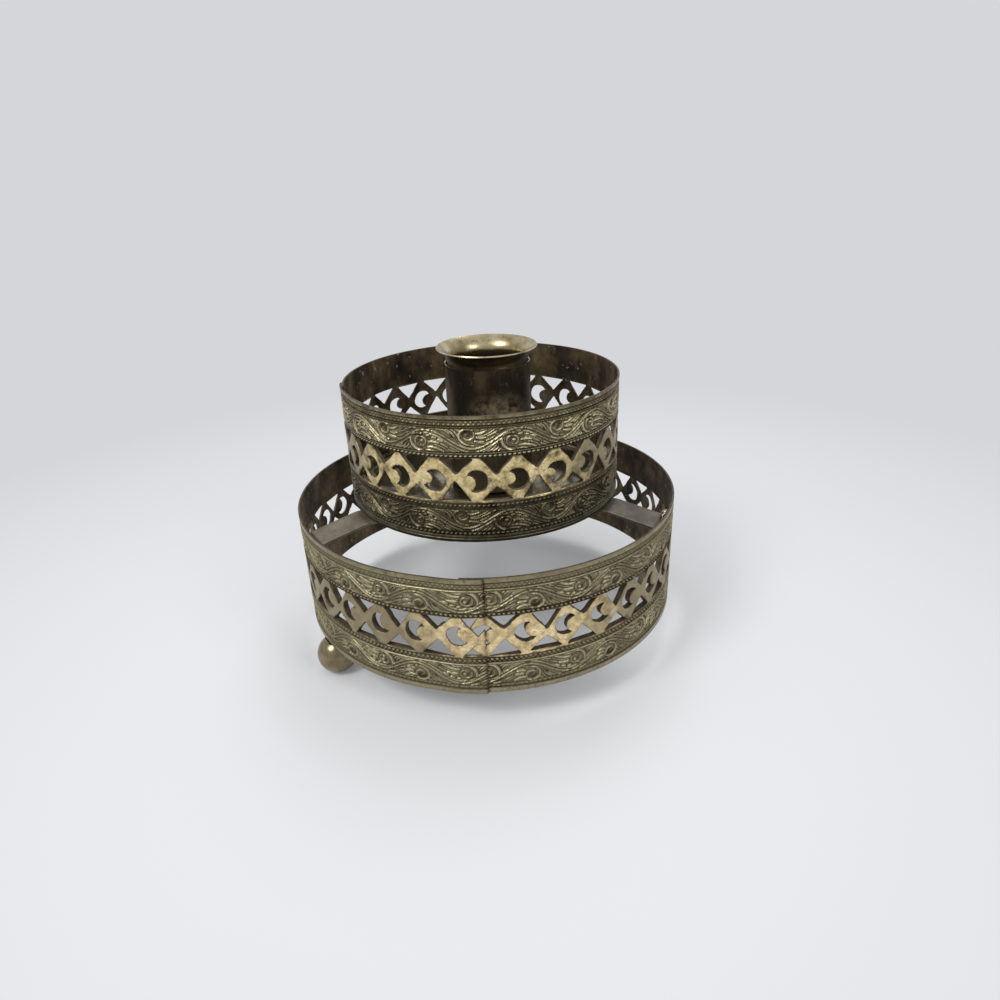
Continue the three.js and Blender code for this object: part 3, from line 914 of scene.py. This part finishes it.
def post_metal(name, colours, stain, metallic, roughness, clean_to):
    """The flat posts of the pierced band: a painted sheen that lightens them towards the front and the back, dull
    blotches, dirt, and painted shade along the hole edges and the band's borders.
    """
    material, tree, shader, _ = node_material(name)
    broad = noise(tree, 60.0, 3.0)
    blotches = noise(tree, 300.0, 6.0, 0.7)
    dirt = noise(tree, 190.0, 6.0, 0.75)
    fine = noise(tree, 1300.0, 3.0)
    scratches = noise(tree, 900.0, 2.0, stretch=(1, 1, 0.12))
    base = even_ramp(tree, blotches, 0.34, 0.64, colours)
    # Painted sheen: the posts keep their bright colours towards the front and the back and take the stain colour
    # elsewhere
    kept = combine(tree, "ADD", attribute(tree, "wear"), spread(tree, broad, 0.3, 0.7, -0.35, 0.35))
    dull = mix(tree, spread(tree, kept, 0.25, 0.75, 0.85, 0.0), base, stain)
    height = attribute(tree, "height")
    low, high = PIERCED_ZONE
    # Painted shade: darker along the hole edges and the band's borders, added to the dirt
    edge_shade = spread(tree, attribute(tree, "relief"), 0.0, 0.9, 1.0, 0.0)
    for border in (spread(tree, height, low, low + 0.7, 1.0, 0.0), spread(tree, height, high - 0.5, high)):
        edge_shade = combine(tree, "MAXIMUM", edge_shade, border)
    dirt_and_edge_shade = combine(tree, "ADD", combine(tree, "MULTIPLY", edge_shade, 0.22), dirt)
    grimy_and_edge_shaded = stained(tree, dull, (fine, 0.56, 0.7, 0.5, stain), (dirt_and_edge_shade, clean_to, clean_to + 0.12, 0.85, EDGE_SHADE_AND_GRIME))
    roughness = spread(tree, blotches, 0.3, 0.7, *roughness)
    finish_metal(tree, shader, rusted_at_seam(tree, grimy_and_edge_shaded), metallic, roughness, scratches, 0.00004)
    return material


upper_relief_metal = embossed_metal(
    "dark_embossed_brass",
    [(0.0, (0.012, 0.009, 0.005)), (0.12, (0.045, 0.037, 0.02)), (0.38, (0.20, 0.172, 0.10)),
     (0.72, (0.36, 0.315, 0.19)), (1.0, (0.57, 0.505, 0.33))],
    [(0.0, (0.12, 0.12, 0.13)), (0.035, (0.2, 0.2, 0.2)), (0.05, (0.32, 0.3, 0.27)), (0.33, (0.45, 0.42, 0.375)),
     (0.66, (1.15, 1.15, 1.15)), (0.88, (1.25, 1.25, 1.22)), (0.96, (0.9, 0.87, 0.8)), (1.0, (0.42, 0.4, 0.34))],
    (0.17, 0.148, 0.092), (0.6, 0.3), 0.9, 0.8,
)
lower_relief_metal = embossed_metal(
    "worn_embossed_brass",
    [(0.0, (0.03, 0.023, 0.012)), (0.12, (0.08, 0.065, 0.036)), (0.38, (0.20, 0.172, 0.10)),
     (0.72, (0.295, 0.255, 0.152)), (1.0, (0.5, 0.445, 0.285))],
    [(0.0, (0.6, 0.6, 0.62)), (0.05, (0.85, 0.85, 0.85)), (0.1, (1.0, 1.0, 1.0)), (0.92, (1.0, 1.0, 0.98)),
     (1.0, (0.6, 0.58, 0.52))],
    (0.20, 0.173, 0.103), (0.62, 0.36), 0.78, 0.2,
)
lower_post_metal = post_metal(
    "lower_band_brass", [(0.30, 0.235, 0.115), (0.62, 0.48, 0.255), (0.88, 0.71, 0.42)],
    (0.20, 0.168, 0.098), 0.75, (0.5, 0.34), 0.56,
)
upper_post_metal = post_metal(
    "upper_band_brass", [(0.26, 0.20, 0.09), (0.64, 0.51, 0.25), (0.90, 0.76, 0.44)],
    (0.21, 0.175, 0.10), 0.8, (0.46, 0.3), 0.52,
)
edge_metal = patchy_metal(
    "cut_edge_brass", [(0.035, 0.026, 0.015), (0.11, 0.085, 0.05)], 0.4, (0.65, 0.5), 420.0
)
inside_metal = patchy_metal(
    "ring_inside", [(0.018, 0.012, 0.007), (0.055, 0.040, 0.024), (0.15, 0.105, 0.05), (0.22, 0.205, 0.155)],
    0.65, (0.6, 0.42), 130.0, (1, 1, 0.7), 0.8,
)
tray_metal = patchy_metal(
    "tray_brass", [(0.15, 0.13, 0.088), (0.27, 0.24, 0.165), (0.4, 0.365, 0.265)], 0.9, (0.16, 0.06), 90.0
)
# Painted light: a lighter copy of the arm brass for the left arm
left_arm_lit_metal = patchy_metal(
    "left_arm_lit_brass", [(0.12, 0.10, 0.068), (0.235, 0.198, 0.14), (0.33, 0.285, 0.205)], 0.85, (0.5, 0.35)
)
# Painted shade: a darker copy of the arm brass for the right and rear arms, also used on the hub
arm_shaded_metal = patchy_metal(
    "arm_shaded_brass", [(0.07, 0.06, 0.045), (0.12, 0.105, 0.08), (0.19, 0.168, 0.13)], 0.85, (0.5, 0.35)
)
solder_metal = patchy_metal("solder", [(0.2, 0.165, 0.1), (0.58, 0.5, 0.36)], 0.95, (0.4, 0.25), 500.0)
flare_metal = patchy_metal(
    "cup_outside_brass", [(0.03, 0.022, 0.012), (0.08, 0.06, 0.033), (0.16, 0.125, 0.07)], 0.9, (0.45, 0.3)
)
foot_metal = patchy_metal(
    "foot_brass", [(0.13, 0.10, 0.055), (0.27, 0.22, 0.13), (0.42, 0.36, 0.235)], 1.0, (0.3, 0.17)
)
screw_metal = patchy_metal("screw_brass", [(0.22, 0.17, 0.09), (0.42, 0.33, 0.19)], 0.95, (0.4, 0.25))


def height_of(tree):
    return add_node(tree, "ShaderNodeSeparateXYZ", {0: place_at(tree)}).outputs["Z"]


def sleeve_material():
    """Dark lacquer, with painted light that makes it lighter towards the foot, and worn through to the brass on one
    side.
    """
    material, tree, shader, _ = node_material("sleeve_brass")
    broad = noise(tree, 150.0, 5.0, stretch=(1, 1, 0.35))
    fine = noise(tree, 900.0, stretch=(1, 1, 0.6))
    mottled = noise(tree, 420.0, 5.0, 0.7)
    stops = [(0.3, (0.014, 0.010, 0.007)), (0.5, (0.045, 0.032, 0.02)), (0.68, (0.16, 0.118, 0.065))]
    # Painted light: lighter towards the sleeve's foot
    painted_light_low = spread(tree, height_of(tree), 0.050, 0.066, 0.75, 0.0)
    lit_low = mix(tree, painted_light_low, ramp(tree, broad, stops), (0.27, 0.23, 0.155))
    away = add_node(tree, "ShaderNodeVectorMath", {0: place_at(tree), 1: WORN_SPOT}, operation="DISTANCE")
    near = spread(tree, away.outputs["Value"], 0.004, 0.0115, 1.0, 0.0)
    spot = combine(tree, "MULTIPLY", near, spread(tree, mottled, 0.4, 0.6))
    worn = mix(tree, spot, lit_low, (0.40, 0.32, 0.185))
    scratched = stained(tree, worn, (fine, 0.62, 0.72, 0.5, (0.26, 0.23, 0.18)))
    finish_metal(tree, shader, scratched, 0.85, spread(tree, broad, 0.3, 0.7, 0.5, 0.36), fine, strength=0.6)
    return material


def cup_inside_metal():
    """Bright on the flare, and dark down in the bore with painted shade."""
    material, tree, shader, _ = node_material("cup_brass")
    broad = noise(tree, 150.0, 5.0)
    fine = noise(tree, 900.0, 3.0)
    bright = even_ramp(tree, broad, 0.3, 0.7, [(0.24, 0.19, 0.10), (0.50, 0.43, 0.26), (0.74, 0.67, 0.47)])
    # Painted shade: dark down in the bore, below the flare
    colour = mix(tree, spread(tree, height_of(tree), 0.080, 0.0852, 1.0, 0.0), bright, (0.03, 0.021, 0.012))
    spotted = stained(tree, colour, (fine, 0.55, 0.72, 0.5, (0.10, 0.075, 0.04)))
    finish_metal(tree, shader, spotted, 1.0, spread(tree, broad, 0.3, 0.7, 0.34, 0.2), fine)
    return material


sleeve_metal = sleeve_material()
cup_metal = cup_inside_metal()


# Rings

tile = relief_tile()
for ring, relief_metal, flat_metal in (
    (LOWER, lower_relief_metal, lower_post_metal),
    (UPPER, upper_relief_metal, upper_post_metal),
):
    name = f"{ring['name']}_ring"
    for side, low, high in (("lower", 0.0, PIERCED_ZONE[0]), ("upper", PIERCED_ZONE[1], STRIP_WIDTH)):
        skins = (relief_metal, inside_metal, edge_metal)
        relief_shell(ring, f"{name}_{side}_relief", tile, relief_rows(ring, low, high), skins)
    pierced_shell(ring, f"{name}_openwork", (flat_metal, inside_metal, edge_metal))


# Tray

TRAY_LOOPS = (14, 26)

tray_mid = TRAY_BOTTOM + TRAY_THICKNESS / 2
tray_side = TRAY_OUTSIDE - TRAY_THICKNESS / 2
tray_outline = sheet_outline([
    (SCREW_HOLE, tray_mid), *((radius, tray_mid) for radius in TRAY_LOOPS),
    *fillet((TRAY_LOOPS[-1], tray_mid), (tray_side, tray_mid), (tray_side, TRAY_RIM_TOP), TRAY_CORNER),
    (tray_side, TRAY_RIM_TOP),
], TRAY_THICKNESS)


def hole_under_column(row, angle):
    """Only the tray's hole lies on the cup's axis, the rest on that of the rings."""
    return (COLUMN_X if tray_outline[row][0] < 2 else 0.0), 0.0, 0.0


dish = lathe("drip_tray_dish", tray_outline, [tray_metal], steps=180, moved=hole_under_column)
place(dish, "drip_tray")


# Candle socket

COLUMN = (COLUMN_X, 0.0)
SLEEVE_WEAR = 0.35
SLEEVE_LOOPS = (60, 72)
CUP_LOOPS = (66, 75)

sleeve_mid = SLEEVE_OUTSIDE - SLEEVE_WALL / 2
sleeve_floor = SLEEVE_BOTTOM + SLEEVE_WALL / 2
sleeve_outline = sheet_outline([
    (SCREW_HOLE, sleeve_floor),
    *fillet((0, sleeve_floor), (sleeve_mid, sleeve_floor), (sleeve_mid, SLEEVE_TOP), SLEEVE_CORNER),
    *((sleeve_mid, height) for height in (*SLEEVE_LOOPS, SLEEVE_TOP)),
], SLEEVE_WALL)
sleeve_edge = len(sleeve_outline) // 2 - 1


def rough_edge(row, angle):
    """The sleeve's mouth is worn down by up to SLEEVE_WEAR."""
    if row not in (sleeve_edge, sleeve_edge + 1):
        return unmoved(row, angle)
    waves = 0.5 * math.sin(7 * angle + 1) + 0.3 * math.sin(19 * angle) + 0.2 * math.sin(43 * angle + 2)
    return 0.0, 0.0, -SLEEVE_WEAR * (0.5 + 0.5 * waves)


sleeve_marks = [int(row == sleeve_edge) for row in range(len(sleeve_outline))]
sleeve = lathe("sleeve_tube", sleeve_outline, [sleeve_metal, screw_metal], sleeve_marks, COLUMN, moved=rough_edge)
place(sleeve, "cup_sleeve")

cup_mid = CUP_BORE + CUP_WALL / 2
cup_floor = CUP_FLOOR - CUP_WALL / 2
flare_start = CUP_TOP - FLARE_RISE
cup_outline = sheet_outline([
    (0, cup_floor),
    *fillet((0, cup_floor), (cup_mid, cup_floor), (cup_mid, CUP_TOP), CUP_CORNER),
    *((cup_mid, height) for height in CUP_LOOPS),
    *[(cup_mid + FLARE_REACH * t * t, flare_start + FLARE_RISE * t) for t in np.linspace(0, 1, 13)],
], CUP_WALL)
for end in (0, -1):
    cup_outline[end] = (0.0, cup_outline[end][1])
cup_half = len(cup_outline) // 2
cup = lathe("cup_liner", cup_outline, [cup_metal, flare_metal], [1] * (cup_half - 1) + [0] * (cup_half + 1), COLUMN)
place(cup, "candle_cup")


# Arms

ARM_BEVEL = 0.18
ARM_MIDDLE = 20
ARM_SLOPE_RADIUS = 6
RING_FACETS = 72
LOWER_INSIDE = LOWER["radius"] - STRIP_THICKNESS - FIT_GAP
SOLDER_SEED = 5
SOLDER_SHAPE = Vector((0.8, 1.3, 0.75))
SOLDER_INSET = 0.7
SOLDER_LUMPS = 0.16


def turned_about_rings(points, azimuth):
    """Points in millimetres turned into place, in metres."""
    return np.array(points) @ np.array(Matrix.Rotation(math.radians(azimuth), 3, "Z")).T * MM


def arm(name, azimuth, material):
    """A strap whose outer end lies along the facets of the solid ring's inside."""
    half = ARM_WIDTH / 2
    wall = (LOWER["radius"] - STRIP_THICKNESS) * math.cos(math.pi / RING_FACETS) - FIT_GAP
    level = ARM_TOP - ARM_THICKNESS / 2
    start = (ARM_INNER_RADIUS, level)
    knee = (ARM_KNEE_RADIUS, level)
    corner = (math.sqrt(wall ** 2 - half ** 2) - ARM_THICKNESS / 2, level - ARM_DROP)
    end = (corner[0], corner[1] - ARM_TAB)
    slope = fillet(start, knee, corner, ARM_SLOPE_RADIUS, 4)
    line = [start, (ARM_MIDDLE, level), *slope, *fillet(knee, corner, end, ARM_BEND_RADIUS), end]
    right, left = sheet_faces(line, ARM_THICKNESS)
    bevel = (right - left) / ARM_THICKNESS * ARM_BEVEL
    flat = half - ARM_BEVEL
    outline = (
        (right, -flat), (right, flat), (right - bevel, half), (left + bevel, half),
        (left, flat), (left, -flat), (left + bevel, -half), (right - bevel, -half),
    )
    points = np.stack([np.insert(along, 1, across, axis=1) for along, across in outline], axis=1)
    index = np.arange(points.size // 3).reshape(len(line), len(outline))
    after = np.roll(index, -1, axis=1)
    sides = np.stack([after[:-1], index[:-1], index[1:], after[1:]], -1).reshape(-1, 4)
    faces = [*sides.tolist(), index[0].tolist(), index[-1, ::-1].tolist()]
    return new_piece(name, turned_about_rings(points.reshape(-1, 3), azimuth), faces, [material], sharp_angle=30)


def solder(name, azimuth, spots):
    """Crumbs of solder in the corner between an arm's outer end and the ring. spots: across, height, size."""
    uneven = np.random.default_rng(SOLDER_SEED)
    mesh = bmesh.new()
    for across, height, size in spots:
        made = bmesh.ops.create_icosphere(mesh, subdivisions=3, radius=1.0)["verts"]
        phases = uneven.uniform(0, 6, 3)
        centre = Vector((math.sqrt(LOWER_INSIDE ** 2 - across ** 2) - SOLDER_INSET * size, across, height))
        for vert in made:
            lump = 1 + SOLDER_LUMPS * sum(math.sin(3 * c + phase) for c, phase in zip(vert.co, phases))
            vert.co = centre + SOLDER_SHAPE * vert.co * size * lump
    points = turned_about_rings([tuple(vert.co) for vert in mesh.verts], azimuth)
    faces = [[vert.index for vert in face.verts] for face in mesh.faces]
    mesh.free()
    return new_piece(name, points, faces, [solder_metal])


place(solder("right_arm_solder", dict(ARM_ANGLES)["right"], SOLDER_SPOTS), None)

for side, azimuth in ARM_ANGLES:
    # Painted light and shade: the left arm takes the lighter copy of the brass, the others the darker
    metal = left_arm_lit_metal if side == "left" else arm_shaded_metal
    place(arm(f"{side}_arm_strap", azimuth, metal), f"arm_{side}")


# Hub, screw, nut

HUB_BEVEL = 0.25
NUT_BEVEL = 0.3
NUT_CORNER = NUT_FLATS / 2 / math.cos(math.pi / 6)
THREAD_DEPTH = 0.22
SCREW_TIP_BEVEL = (0.35, 0.2)
SCREW_HEAD_BEVEL = 0.15
SCREW_HEAD_SIDE = 0.9
SCREW_DOME = ((2.6, 0.45), (2.0, 0.15), (1.0, 0.02), (0, 0))


def plate_profile(radius, bottom, top, bevel):
    """A plate with a hole for the screw, its outer edges bevelled."""
    return [
        (SCREW_HOLE, bottom), (radius - bevel, bottom), (radius, bottom + bevel),
        (radius, top - bevel), (radius - bevel, top), (SCREW_HOLE, top),
    ]


def boolean_cut(piece, cutter):
    modifier = piece.modifiers.new("cut", "BOOLEAN")
    modifier.operation = "DIFFERENCE"
    modifier.solver = "EXACT"
    modifier.object = cutter
    bpy.context.view_layer.update()
    evaluated = piece.evaluated_get(bpy.context.evaluated_depsgraph_get())
    mesh = bpy.data.meshes.new_from_object(evaluated)
    piece.modifiers.clear()
    piece.data = mesh
    bpy.data.objects.remove(cutter)
    mesh.polygons.foreach_set("use_smooth", np.ones(len(mesh.polygons), bool))
    mesh.set_sharp_from_angle(angle=math.radians(35))


hub_profile = plate_profile(HUB_RADIUS, HUB_TOP - HUB_THICKNESS, HUB_TOP, HUB_BEVEL)
place(lathe("hub_plate", hub_profile, [arm_shaded_metal], centre=COLUMN), "hub_disc")


def threaded_screw():
    head_top = SCREW_HEAD_BOTTOM + SCREW_HEAD_HEIGHT
    outline = [(0, SCREW_TAIL), (SCREW_RADIUS - SCREW_TIP_BEVEL[0], SCREW_TAIL)]
    z = SCREW_TAIL + SCREW_TIP_BEVEL[1]
    while z < NUT_TOP + 0.4:
        outline += [(SCREW_RADIUS, z), (SCREW_RADIUS - THREAD_DEPTH, z + THREAD_PITCH / 2)]
        z += THREAD_PITCH
    outline += [
        (SCREW_RADIUS, z), (SCREW_RADIUS, SCREW_HEAD_BOTTOM),
        (SCREW_HEAD_RADIUS - SCREW_HEAD_BEVEL, SCREW_HEAD_BOTTOM),
        (SCREW_HEAD_RADIUS, SCREW_HEAD_BOTTOM + SCREW_HEAD_BEVEL),
        (SCREW_HEAD_RADIUS, SCREW_HEAD_BOTTOM + SCREW_HEAD_SIDE),
        *((radius, head_top - drop) for radius, drop in SCREW_DOME),
    ]
    piece = lathe("socket_screw", outline, [screw_metal], centre=COLUMN, steps=48, sharp_angle=30)
    width, depth = SCREW_SLOT
    slot = bpy.data.meshes.new("slot")
    box = bmesh.new()
    bmesh.ops.create_cube(box, size=1.0)
    for corner in box.verts:
        x, y, z = corner.co
        corner.co = (x * 10 * MM + COLUMN_X * MM, y * width * MM, (z * 2 * depth + head_top) * MM)
    box.to_mesh(slot)
    box.free()
    boolean_cut(piece, add_object("slot", slot))
    return piece


place(threaded_screw(), "cup_screw")

nut_profile = plate_profile(NUT_CORNER, NUT_TOP - NUT_THICKNESS, NUT_TOP, NUT_BEVEL)


def to_flats(row, angle):
    """Points beyond one of the nut's six flats move in to it."""
    flat = NUT_FLATS / 2 / math.cos((angle % (math.pi / 3)) - math.pi / 6)
    change = min(flat - nut_profile[row][0], 0.0)
    return change * math.cos(angle), change * math.sin(angle), 0.0


nut = lathe("clamp_nut", nut_profile, [screw_metal], None, COLUMN, 48, 25, to_flats)
place(nut, "hub_nut")


# Ball feet

GROOVE_HEIGHT = 6


def ball(name, azimuth):
    flat = math.asin(FOOT_CENTRE_HEIGHT / FOOT_RADIUS)
    arc = [
        (FOOT_RADIUS * math.cos(a), FOOT_CENTRE_HEIGHT + FOOT_RADIUS * math.sin(a))
        for a in np.linspace(-flat, math.pi / 2, 40)[:-1]
    ]
    outline = [(0.0, 0.0), *arc, (0.0, FOOT_CENTRE_HEIGHT + FOOT_RADIUS)]
    angle = math.radians(azimuth)
    centre = (FOOT_CENTRE_RADIUS * math.cos(angle), FOOT_CENTRE_RADIUS * math.sin(angle))
    piece = lathe(name, outline, [foot_metal], None, centre, 72, 35)
    outer = LOWER["radius"] + FIT_GAP
    bottom = LOWER["bottom"] - FIT_GAP
    top = bottom + GROOVE_HEIGHT
    seat = [(LOWER_INSIDE, bottom), (outer, bottom), (outer, top), (LOWER_INSIDE, top)]
    boolean_cut(piece, lathe("groove", seat, [foot_metal], steps=288))
    return piece


for side, azimuth in FOOT_ANGLES:
    place(ball(f"{side}_foot_ball", azimuth), f"foot_{side}")


# Stage: lengths in metres from here on

BACKGROUND = (0.665, 0.672, 0.70, 1.0)
FLOOR_HALF = 6
FLOOR_FADE = (0.06, 0.28)
FLOOR_GLOW = 0.12


def seen_directly(tree):
    """1 for rays from the camera and for what gloss and glass show."""
    path = add_node(tree, "ShaderNodeLightPath", {}).outputs
    shown = combine(tree, "MAXIMUM", path["Is Camera Ray"], path["Is Glossy Ray"])
    return combine(tree, "MAXIMUM", shown, path["Is Transmission Ray"])


def stage_floor():
    """A pale floor that fades into the background colour away from the object."""
    material, tree, shader, output = node_material("studio_floor")
    faint = spread(tree, noise(tree, 3.0, 2.0), 0.3, 0.7)
    colour = mix(tree, faint, (0.655, 0.66, 0.672), (0.67, 0.675, 0.687))
    fill(tree, shader, {"Base Color": colour, "Roughness": 0.6, "Specular IOR Level": 0.2})
    away = add_node(tree, "ShaderNodeVectorMath", {0: place_at(tree)}, operation="LENGTH").outputs["Value"]
    faded = combine(tree, "MULTIPLY", spread(tree, away, *FLOOR_FADE, FLOOR_GLOW), seen_directly(tree))
    glow = add_node(tree, "ShaderNodeEmission", {"Color": BACKGROUND}).outputs[0]
    blend = add_node(tree, "ShaderNodeMixShader", {0: faded, 1: shader.outputs["BSDF"], 2: glow})
    fill(tree, output, {"Surface": blend.outputs[0]})
    points = [(x * FLOOR_HALF, y * FLOOR_HALF, 0) for x, y in ((-1, -1), (1, -1), (1, 1), (-1, 1))]
    piece = new_piece("floor", points, [[0, 1, 2, 3]], [material])


stage_floor()


def set_world():
    world = bpy.data.worlds.new("studio")
    bpy.context.scene.world = world
    world.use_nodes = True
    tree = world.node_tree
    tree.nodes.clear()
    light = {"Color": (0.97, 0.985, 1.0, 1.0), "Strength": 0.75}
    lit, seen = (
        add_node(tree, "ShaderNodeBackground", inputs).outputs[0] for inputs in (light, {"Color": BACKGROUND})
    )
    choose = add_node(tree, "ShaderNodeMixShader", {0: seen_directly(tree), 1: lit, 2: seen})
    add_node(tree, "ShaderNodeOutputWorld", {"Surface": choose.outputs[0]})


set_world()

AIM = (0, 0, 0.05)


def area_light(name, at, size, power):
    data = bpy.data.lights.new(name, "AREA")
    data.shape = "RECTANGLE"
    data.size, data.size_y = size
    data.energy = power
    lamp = add_object(name, data)
    lamp.location = at
    lamp.rotation_euler = (Vector(AIM) - Vector(at)).to_track_quat("-Z", "Y").to_euler()


area_light("key", (-0.46, -0.4, 0.68), (0.3, 0.25), 3.7)
area_light("fill", (0.5, -0.5, 0.5), (0.3, 0.25), 1.4)
area_light("back", (0.12, 0.36, 0.7), (0.35, 0.3), 1.5)


# Camera: the viewing point that fits the photograph's ellipses, in millimetres

CAMERA_AT = (0.03, -205.2, 134.11)
CAMERA_RIGHT = (0.99863492, -0.03681608, -0.0370524)
CAMERA_UP = (0.04910825, 0.42009045, 0.90615252)
CAMERA_BACK = (-0.01779562, -0.90673513, 0.42132497)
SENSOR_WIDTH = 36.0
FOCAL_SHARE = 0.7257

camera_data = bpy.data.cameras.new("camera")
camera_data.sensor_width = SENSOR_WIDTH
camera_data.sensor_fit = "HORIZONTAL"
camera_data.lens = SENSOR_WIDTH * FOCAL_SHARE
camera_data.clip_start = 0.01
camera = add_object("camera", camera_data)
rotation = Matrix((CAMERA_RIGHT, CAMERA_UP, CAMERA_BACK)).transposed()
camera.matrix_world = Matrix.Translation(Vector(CAMERA_AT) * MM) @ rotation.to_4x4()
bpy.context.scene.camera = camera
bpy.context.scene.view_settings.view_transform = "Standard"
